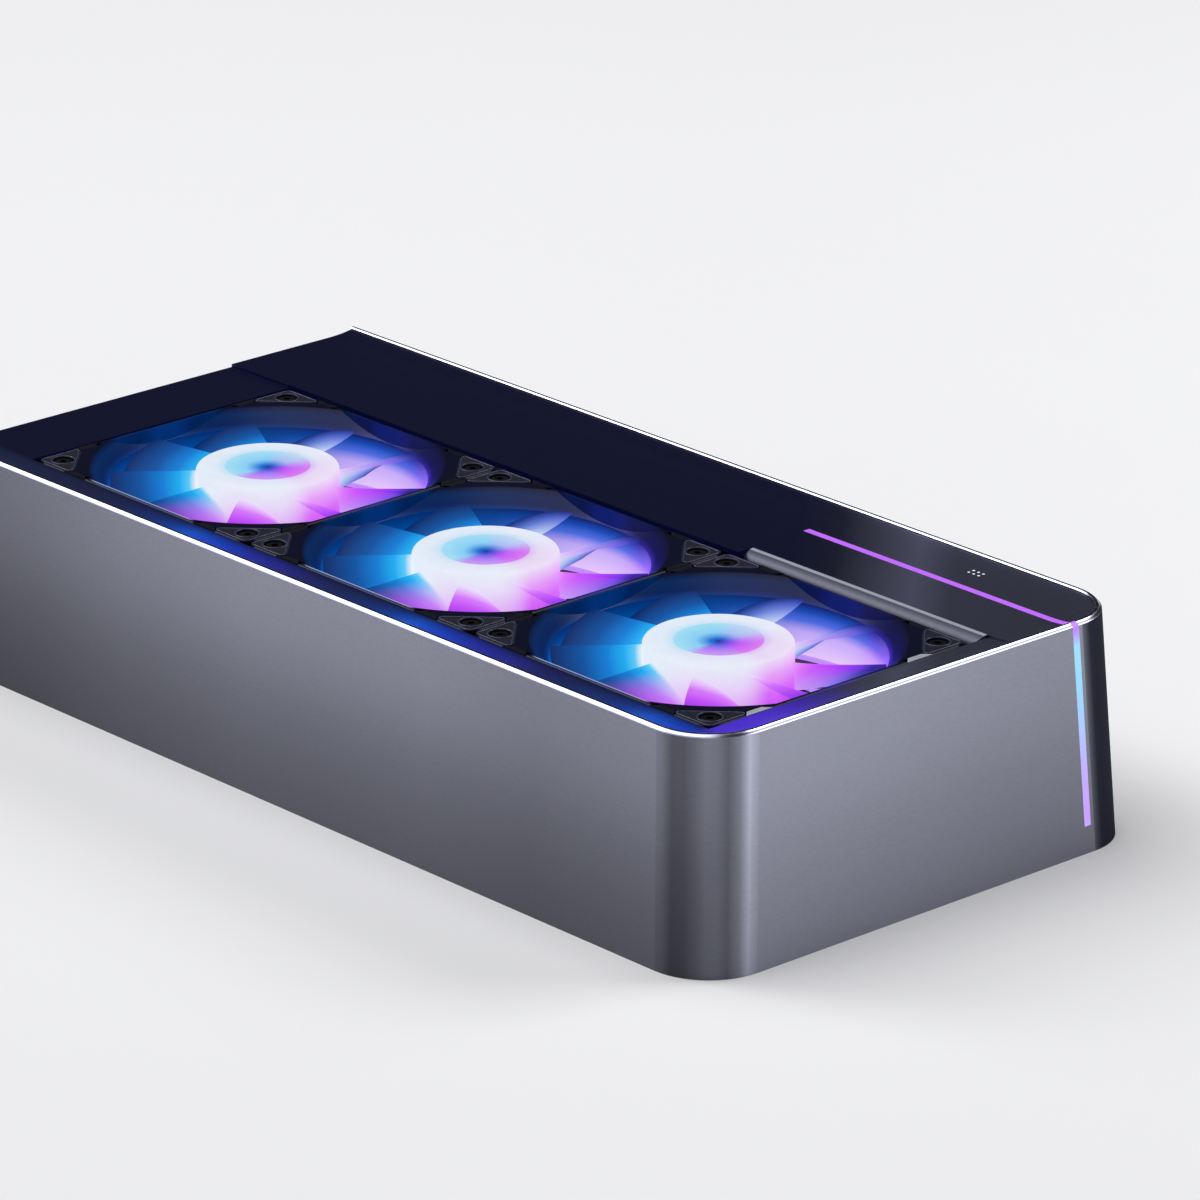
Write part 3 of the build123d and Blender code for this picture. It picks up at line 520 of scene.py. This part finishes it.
# %% Finishes of the hidden parts
dress(coated("sheet_black", screen(40, 40, 43), 0.45, 0.05 * MM, 1500.0), "tray_legs", "end_plate")
dress(
    coated("radiator_black", screen(30, 30, 33), 0.38, 0.04 * MM, 900.0),
    "radiator_tubes", "header_plate_ports", "header_plate_return",
    "port_tank", "return_tank", "rail_front", "rail_back")
dress(coated("rubber_black", screen(26, 26, 29), 0.62, 0.04 * MM, 2500.0), "hose_grommets", "fill_plug_seal")
dress(metal("plug_nickel", screen(150, 150, 156), 0.22, 4000.0), "fill_plug")
dress(metal("steel_plain", screen(175, 175, 180), 0.25, 4000.0), "panel_posts")
dress(
    coated("circuit_board", screen(12, 46, 34), 0.35, 0.03 * MM, 1200.0),
    "deck_led_board", "wall_led_board")
dress(screw_black, "tray_screws")

# %% [markdown]
# ## Light lines
# A milky strip lit from behind looks like one even colour, so each strip glows by itself. The deck
# strip is violet. The wall strip goes from sky blue below the rim to violet at its foot, and a ramp
# on height gives that change. A faint speckle stands for the milky plastic.

# %% Finishes of the lights
WHITE = screen(255, 255, 255)
DECK_LINE = [(0.0, screen(184, 78, 246)), (1.0, screen(184, 78, 246))]
WALL_LINE = [
    (0.1, screen(192, 150, 250)), (0.35, screen(184, 170, 252)), (0.6, screen(160, 196, 252)),
    (0.8, screen(140, 210, 252)), (0.975, screen(146, 218, 252)), (1.0, screen(184, 110, 250))]
PINS = [(0.0, screen(240, 240, 255)), (1.0, WHITE)]


def light_strip(name, stops):
    """A diffuser whose glow changes with height."""
    f = Finish(name)
    place = f.place()
    height = f.step(f.part(place, "Z"), foot, rim_top)
    speckle = f.noise(place, 900.0, 1.0)
    return f.surface(
        Base_Color=screen(40, 36, 52), Roughness=0.40, Specular_IOR_Level=0.3,
        Emission_Color=f.mix(speckle * 0.12, f.ramp(height, stops), WHITE), Emission_Strength=1.0)


dress(light_strip("light_violet", DECK_LINE), "deck_light_line")
dress(light_strip("light_cyan", WALL_LINE), "wall_light_line")
dress(light_strip("light_white", PINS), "pin_lights")

# %% [markdown]
# ## Colours round a fan
# Lights under each hub shine sideways into milky blades, so a fan glows nearly white at its hub and
# deep in colour at its rim. The colour also turns round the fan: azure at the left, lavender at the
# back, magenta at the right and pink at the front. Each side has one ramp from the axis out, and the
# sides are blended by the direction from the axis.

# %% Blend the sides of a fan
TO_BACK = 72  # degrees round the fan, from +X
TO_RIGHT = 5
TO_FRONT = -48


def from_axis(f, place, centre):
    """The level vector from a fan's axis to the point being shaded, and its length."""
    flat = f.scaled(f.moved(place, *centre), 1, 1, 0)
    return flat, f.node("ShaderNodeVectorMath", {"operation": "LENGTH"}, {0: flat}, output="Value")


def by_side(f, flat, radius, left, back, right, front):
    """Blends the colours of a fan's four sides by the direction from its axis."""
    reach = radius.math("MAXIMUM", 1 * MM)

    def toward(degrees):
        way = (math.cos(math.radians(degrees)), math.sin(math.radians(degrees)), 0)
        settings = {"operation": "DOT_PRODUCT"}
        return f.node("ShaderNodeVectorMath", settings, {0: flat, 1: way}, output="Value") / reach

    cold = f.mix(f.step(toward(TO_BACK), 0.3, 0.95), left, back)
    warm = f.mix(f.step(toward(TO_RIGHT), 0.1, 0.95), cold, right)
    return f.mix(f.step(toward(TO_FRONT), 0.68, 0.97), warm, front)


def rings(*stops):
    """Ramp stops from radii in millimetres."""
    return [(radius * MM / MOUTH_R, colour) for radius, colour in stops]


print("sides at", TO_BACK, TO_RIGHT, TO_FRONT, "degrees, and the left elsewhere")

# %% [markdown]
# ## The blades and the hub cap
# The lights stay still while the blades turn, so the colours are laid out in the coordinates of the
# fan's frame. Only a faint haze in the plastic turns with the blades.

# %% Finish of the rotors and caps
ROTOR_LEFT = rings(
    (15.6, screen(200, 230, 248)), (19, screen(226, 237, 250)), (26.2, screen(232, 240, 252)),
    (28.5, screen(90, 204, 250)), (32, screen(24, 174, 244)), (38, screen(6, 126, 214)),
    (46, screen(2, 82, 160)), (57, screen(2, 38, 98)))
ROTOR_BACK = rings(
    (15.6, screen(206, 226, 248)), (19, screen(230, 236, 250)), (26.2, screen(236, 240, 252)),
    (30, screen(216, 226, 248)), (38, screen(176, 190, 240)), (46, screen(120, 138, 228)),
    (53, screen(60, 84, 190)), (57, screen(24, 36, 110)))
ROTOR_RIGHT = rings(
    (15.6, screen(222, 190, 244)), (19, screen(234, 218, 247)), (26.2, screen(240, 226, 251)),
    (30, screen(233, 166, 251)), (34, screen(220, 112, 251)), (38, screen(204, 80, 251)),
    (47, screen(172, 58, 246)), (53, screen(120, 50, 230)), (57, screen(50, 30, 150)))
ROTOR_FRONT = rings(
    (15.6, screen(226, 230, 248)), (26.2, screen(236, 242, 252)), (31, screen(234, 220, 251)),
    (36, screen(228, 176, 250)), (41, screen(214, 118, 250)), (50, screen(196, 76, 248)),
    (58, screen(166, 54, 240)))
CAP_LEFT = rings(
    (0, screen(14, 50, 140)), (3, screen(36, 120, 216)), (8, screen(138, 210, 247)),
    (15.6, screen(168, 225, 246)))
CAP_BACK = rings(
    (0, screen(14, 50, 140)), (3, screen(60, 112, 218)), (8, screen(170, 192, 244)),
    (15.6, screen(198, 220, 246)))
CAP_RIGHT = rings(
    (0, screen(14, 44, 140)), (3, screen(108, 78, 228)), (8, screen(198, 96, 250)),
    (15.6, screen(222, 124, 243)))
CAP_FRONT = rings(
    (0, screen(14, 48, 140)), (3, screen(76, 94, 222)), (8, screen(168, 124, 247)),
    (15.6, screen(208, 156, 246)))
ROTOR_SIDES = (ROTOR_LEFT, ROTOR_BACK, ROTOR_RIGHT, ROTOR_FRONT)
CAP_SIDES = (CAP_LEFT, CAP_BACK, CAP_RIGHT, CAP_FRONT)


def glowing(name, k, sides, rough, sink=0.0):
    """A lit milky plastic, with a faint haze in it.

    Sink is how fast the right and front colours deepen below the fan's top.
    """
    f = Finish(name)
    place = f.place(nodes[f"fan_{k}_frame"])
    haze = f.noise(f.place(), 160.0, 2.0)
    flat, radius = from_axis(f, place, fan_middles[k])
    out = radius / MOUTH_R
    deeper = out + (fan_top - f.part(place, "Z")) * (sink / MOUTH_R)
    glow = by_side(f, flat, radius, *map(f.ramp, (out, out, deeper, deeper), sides))
    return f.surface(
        Base_Color=screen(20, 20, 34), Roughness=rough + haze * 0.1, Specular_IOR_Level=0.03,
        Emission_Color=f.mix(haze * 0.08, glow, (0.0, 0.0, 0.0)), Emission_Strength=1.0,
        Normal=f.bump(haze, 0.02 * MM, 0.2))


for k in FANS:
    rotor_glow = glowing(f"fan_{k}_rotor_glow", k, ROTOR_SIDES, 0.38, 0.65)
    cap_glow = glowing(f"fan_{k}_cap_glow", k, CAP_SIDES, 0.30)
    # The motor base takes the blades' glow too, as their light painted on it.
    dress(rotor_glow, f"fan_{k}_rotor", f"fan_{k}_motor_base")
    dress(cap_glow, f"fan_{k}_hub_cap")

# %% [markdown]
# ## The frames' mouths and bores
# A frame is a black gloss moulding, so it shows little but the light of the blades, and that light is
# painted on it as a glow. On the mouth, which opens out at the top, the colours follow the distance
# from the axis, and in the bore below it they follow the depth. At the front the mouth leaves only a
# thin wall, whose top edge carries a painted highlight.

# %% Finish of the frames
MOUTH_LEFT = rings(
    (58.0, screen(0, 44, 108)), (59.6, screen(0, 30, 80)), (62.5, screen(0, 36, 84)),
    (64.1, screen(0, 18, 52)), (64.5, grey(0.0)))
MOUTH_BACK = rings(
    (58.0, screen(14, 26, 104)), (59.6, screen(10, 16, 66)), (62.5, screen(10, 16, 60)),
    (64.1, screen(5, 8, 34)), (64.5, grey(0.0)))
MOUTH_RIGHT = rings(
    (58.0, screen(60, 34, 170)), (59.6, screen(22, 15, 84)), (62.5, screen(14, 12, 56)),
    (64.1, screen(7, 7, 30)), (64.5, grey(0.0)))
BORE_LEFT = [(0.24, screen(0, 44, 108)), (0.5, screen(0, 76, 160)), (1.0, screen(10, 130, 215))]
BORE_BACK = [
    (0.24, screen(10, 24, 100)), (0.36, screen(24, 74, 180)), (0.5, screen(80, 110, 226)),
    (0.66, screen(196, 170, 248)), (1.0, screen(232, 200, 252))]
BORE_RIGHT = [
    (0.24, screen(60, 34, 170)), (0.45, screen(140, 62, 240)), (0.65, screen(204, 92, 250)),
    (1.0, screen(232, 150, 252))]
MOUTH_SIDES = (MOUTH_LEFT, MOUTH_BACK, MOUTH_RIGHT, MOUTH_RIGHT)
BORE_SIDES = (BORE_LEFT, BORE_BACK, BORE_RIGHT, BORE_RIGHT)


def thin_wall_highlight(f, place, centre):
    """1 on the top edge of the frame's thin front wall, where a highlight is painted."""
    lip = centre.y - SIDE_WALL
    y = f.part(place, "Y")
    top = f.step(f.part(place, "Z"), fan_top - 0.25 * MM, fan_top - 0.1 * MM)
    aside = (f.part(place, "X") - centre.x).math("ABSOLUTE")
    inside = f.step(y, lip - 0.7 * MM, lip - 0.55 * MM) * (1 - f.step(y, lip, lip + 0.6 * MM))
    return top * inside * (1 - f.step(aside, 26 * MM, 30 * MM))


def glossy_frame(name, centre):
    """Black gloss moulding, with the blades' light painted as a glow in its mouth and down its bore."""
    f = Finish(name)
    place = f.place()
    flat, radius = from_axis(f, place, centre)
    out = radius / MOUTH_R
    depth = (fan_top - f.part(place, "Z")) / FAN_DEPTH
    mouth = by_side(f, flat, radius, *(f.ramp(out, stops) for stops in MOUTH_SIDES))
    bore = by_side(f, flat, radius, *(f.ramp(depth, stops) for stops in BORE_SIDES))
    glow = f.mix(f.step(radius, DUCT_R + 0.2 * MM, DUCT_R + 0.9 * MM), bore, mouth)
    peel = f.noise(place, 700.0, 2.0)
    return f.surface(
        Base_Color=screen(7, 10, 34), Roughness=0.24 + peel * 0.12, Specular_IOR_Level=0.1,
        # A painted highlight on the thin wall's top edge, and the blades' light painted as a glow.
        Emission_Color=f.mix(thin_wall_highlight(f, place, centre), glow, screen(150, 160, 190)),
        Emission_Strength=1.0, Normal=f.bump(peel, 0.02 * MM, 0.15))


for k in FANS:
    dress(glossy_frame(f"fan_{k}_frame_gloss", fan_middles[k]), f"fan_{k}_frame")

# %% [markdown]
# ## What the fans light below them
# Between the blades the eye falls on the tray and on the radiator's fins. The fans' light on their
# tops, inside the ring of each fan, is painted on as a glow. The three rings are one pattern: the
# distance along X is taken from the nearest fan's axis.

# %% Finish of the tray and the fins
def lit_below(name, colour):
    """Paint on a piece under the fans, with their light painted as a glow on its top, inside the ring of
    each fan.
    """
    f = Finish(name)
    place = f.place()
    x, y, z = (f.part(place, axis) for axis in "XYZ")
    beside = (((x - fan_middles[1].x) / FAN_PITCH + 0.5).math("FRACT") - 0.5) * FAN_PITCH
    behind = y - fan_middles[1].y
    radius = (beside * beside + behind * behind) ** 0.5
    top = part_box("radiator_fins")[1][2]
    # The fans' light, painted as a glow on the tops inside each ring.
    lit = (1 - f.step(radius, 57 * MM, 60 * MM)) * f.step(z, top - 6 * MM, top)
    paint = f.noise(place, 900.0, 2.0)
    return f.surface(
        Base_Color=colour, Roughness=0.38 + paint * 0.1,
        Emission_Color=f.tint(screen(190, 140, 244), lit), Emission_Strength=1.0,
        Normal=f.bump(paint, 0.04 * MM, 0.4))


dress(lit_below("lit_fins", screen(30, 30, 33)), "radiator_fins")
dress(lit_below("lit_tray", screen(40, 40, 43)), "fan_tray")

# %% [markdown]
# ## Clips
# The clips are one pressing. Those at the right-hand end of the row catch the light and are painted
# bright as lit metal, and the others, in shade between the fans, are painted dark as shade. A plane
# near the end of the row divides the two, so the fans' clips are all dressed in the same way.

# %% Finish of the clips
def clips(name, lit_from):
    """Clips painted dark as shade, and bright as lit metal to the right of a plane."""
    f = Finish(name)
    place = f.place()
    marks = f.noise(f.scaled(place, 300, 300, 2500), 1.0, 3.0)
    # Painted light: bright as lit metal right of the plane, dark as painted shade elsewhere.
    lit_end = f.step(f.part(place, "X"), lit_from, lit_from + 1 * MM)
    dark = f.mix(marks, screen(12, 13, 24), screen(24, 25, 38))
    bright = f.mix(marks, screen(184, 186, 200), screen(216, 218, 230))
    return f.surface(
        Base_Color=f.mix(lit_end, dark, bright), Metallic=0.5, Roughness=0.30 + marks * 0.15,
        Normal=f.bump(marks, 0.02 * MM, 0.3))


for k in FANS:
    dress(clips(f"fan_{k}_clip_metal", row_high.x - 5 * MM), f"fan_{k}_edge_clips")

# %% [markdown]
# ## Pads, screws and the inside of the fan motors
# The motor's parts are hidden under the hub, but each one keeps the look of its own material, so
# that an open or exploded fan reads well. The three fans share these finishes.

# %% Finishes inside the fans
FAN_FINISHES = {
    "shaft": metal("shaft_steel", screen(200, 200, 205), 0.18, 5000.0),
    "bearing": metal("sintered_bronze", screen(176, 138, 92), 0.42, 1500.0),
    "magnet_ring": coated("magnet_ferrite", screen(44, 42, 40), 0.55, 0.04 * MM, 1800.0),
    "stator": metal("winding_copper", screen(176, 96, 58), 0.35, 2500.0),
    "circuit_board": coated("fan_board_green", screen(14, 52, 40), 0.35, 0.03 * MM, 1200.0),
    "corner_pads": coated("pad_rubber", screen(10, 12, 32), 0.42, 0.04 * MM, 2500.0),
    "screws": screw_black,
}
for part_name, finish in FAN_FINISHES.items():
    dress(finish, *(f"fan_{k}_{part_name}" for k in FANS))

# %% [markdown]
# ## Raised lips on the corner pads
# Each rubber pad has a thin raised lip round its edge and a ring round its screw, which keep the
# frame off whatever it is screwed to. Both are round beads, so each is a closed curve with a bevel:
# three arcs joined by straight runs near the pad's edge, and a circle about the screw.

# %% Outlines of the beads
BEAD_R = 0.26 * MM
RING_R = 4.4  # millimetres, like the bends
RING_POINTS = 24
BEND_POINTS = 7
LIP_BENDS = (  # centre along both edges, radius, first and last direction in degrees
    (56.4, 56.4, 2.0, 0, 90),
    (43.0, 57.2, 1.2, 90, 225),
    (57.2, 43.0, 1.2, 225, 360),
)


def arc(x, y, radius, first, last, count):
    """Points along an arc, in millimetres and degrees."""
    turns = [math.radians(first + (last - first) * n / (count - 1)) for n in range(count)]
    return [(x + radius * math.cos(turn), y + radius * math.sin(turn)) for turn in turns]


screw = SCREW_SPACING / 2 / MM
pad_outline = [point for bend in LIP_BENDS for point in arc(*bend, BEND_POINTS)]
screw_ring = arc(screw, screw, RING_R, 0, 360, RING_POINTS + 1)[:-1]
print("points in an outline", len(pad_outline), "and in a ring", len(screw_ring))

# %% [markdown]
# ## Beads on all four corners
# The other three corners are mirror images, so the same two outlines serve them all. The lips of one
# fan are a single piece, which rides on the housing and has a finish of its own: the pads' rubber,
# painted lighter as a highlight.

# %% Pad lips
def closed_curve(data, centre, points):
    """Adds one closed spline through points, in millimetres from a fan's axis."""
    spline = data.splines.new("POLY")
    spline.points.add(len(points) - 1)
    for spot, (x, y) in zip(spline.points, points):
        spot.co = (centre.x + x * MM, centre.y + y * MM, fan_top, 1.0)
    spline.use_cyclic_u = True


def lips(k, finish):
    """The beads on one fan's four upper pads, as one piece."""
    data = bpy.data.curves.new(f"fan_{k}_pad_lips", "CURVE")
    data.dimensions = "3D"
    data.bevel_depth = BEAD_R
    data.bevel_resolution = 2
    for sx, sy in ((1, 1), (-1, 1), (-1, -1), (1, -1)):
        for points in (pad_outline, screw_ring):
            closed_curve(data, fan_middles[k], [(sx * x, sy * y) for x, y in points])
    data.materials.append(finish)
    piece = bpy.data.objects.new(f"fan_{k}_pad_lips", data)
    scene.collection.objects.link(piece)
    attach(piece, "housing")
    return piece


# The beads are the pads' rubber, painted lighter and bluer as a highlight.
bead_rubber_highlight = coated("bead_rubber_highlight", screen(56, 62, 96), 0.28, 0.02 * MM, 2500.0)
for k in FANS:
    made = lips(k, bead_rubber_highlight)
    print(made.name, "beads", len(made.data.splines))

# %% [markdown]
# ## Floor
# A studio floor is pale and plain, and it runs past every edge of the view. One large square does
# that. Faint patches keep it from looking like flat paint.

# %% Floor
FLOOR_HALF = 8.0


def pale_floor():
    f = Finish("pale_floor")
    patches = f.noise(f.place(), 1.5, 2.0)
    return f.surface(Base_Color=f.mix(patches, screen(233, 233, 235), screen(238, 238, 240)), Roughness=0.7)


floor_mesh = bpy.data.meshes.new("floor")
corners = [(x * FLOOR_HALF, y * FLOOR_HALF, foot) for x, y in ((-1, -1), (1, -1), (1, 1), (-1, 1))]
floor_mesh.from_pydata(corners, [], [(0, 1, 2, 3)])
floor_mesh.materials.append(pale_floor())
floor = bpy.data.objects.new("floor", floor_mesh)
scene.collection.objects.link(floor)
print("floor", 2 * FLOOR_HALF, "m wide at", round(foot, 4))

# %% [markdown]
# ## Lamps
# A sun lamp with a very wide disc works as an even ceiling of light, with soft shadows. Two square
# softboxes, one at the front left and one behind, add light from the sides, which the metal reflects.

# %% Lamps
SOFTBOX_SIZE = 1.2
SOFTBOX_POWER = 26
CEILING_STRENGTH = 1.95
CEILING_SPREAD = math.radians(60)


def softbox(name, place):
    """A square lamp that faces the middle of the unit."""
    data = bpy.data.lights.new(name, "AREA")
    data.shape = "RECTANGLE"
    data.size = SOFTBOX_SIZE
    data.size_y = SOFTBOX_SIZE
    data.energy = SOFTBOX_POWER
    lamp = bpy.data.objects.new(name, data)
    lamp.location = place
    toward = Vector((0, 0, 0.05)) - lamp.location
    lamp.rotation_euler = toward.to_track_quat("-Z", "Y").to_euler()
    scene.collection.objects.link(lamp)
    print(name, "at", place)


ceiling = bpy.data.lights.new("even_ceiling", "SUN")
ceiling.energy = CEILING_STRENGTH
ceiling.angle = CEILING_SPREAD
overhead = bpy.data.objects.new("even_ceiling", ceiling)
overhead.rotation_euler = (math.radians(12), math.radians(-14), 0)
scene.collection.objects.link(overhead)
softbox("left_softbox", (-2.0, -1.0, 1.8))
softbox("back_softbox", (0.9, 1.7, 1.8))

# %% [markdown]
# ## Sky
# The sky only fills the shadows. It is kept very dim, because the gloss of the black fan frames would
# mirror a bright one and turn them grey.

# %% Sky
SKY_STRENGTH = 0.05

world = bpy.data.worlds.new("studio_sky")
world.use_nodes = True
sky = world.node_tree.nodes["Background"]
sky.inputs["Color"].default_value = (0.93, 0.95, 1.0, 1.0)
sky.inputs["Strength"].default_value = SKY_STRENGTH
scene.world = world
print("sky at", SKY_STRENGTH)
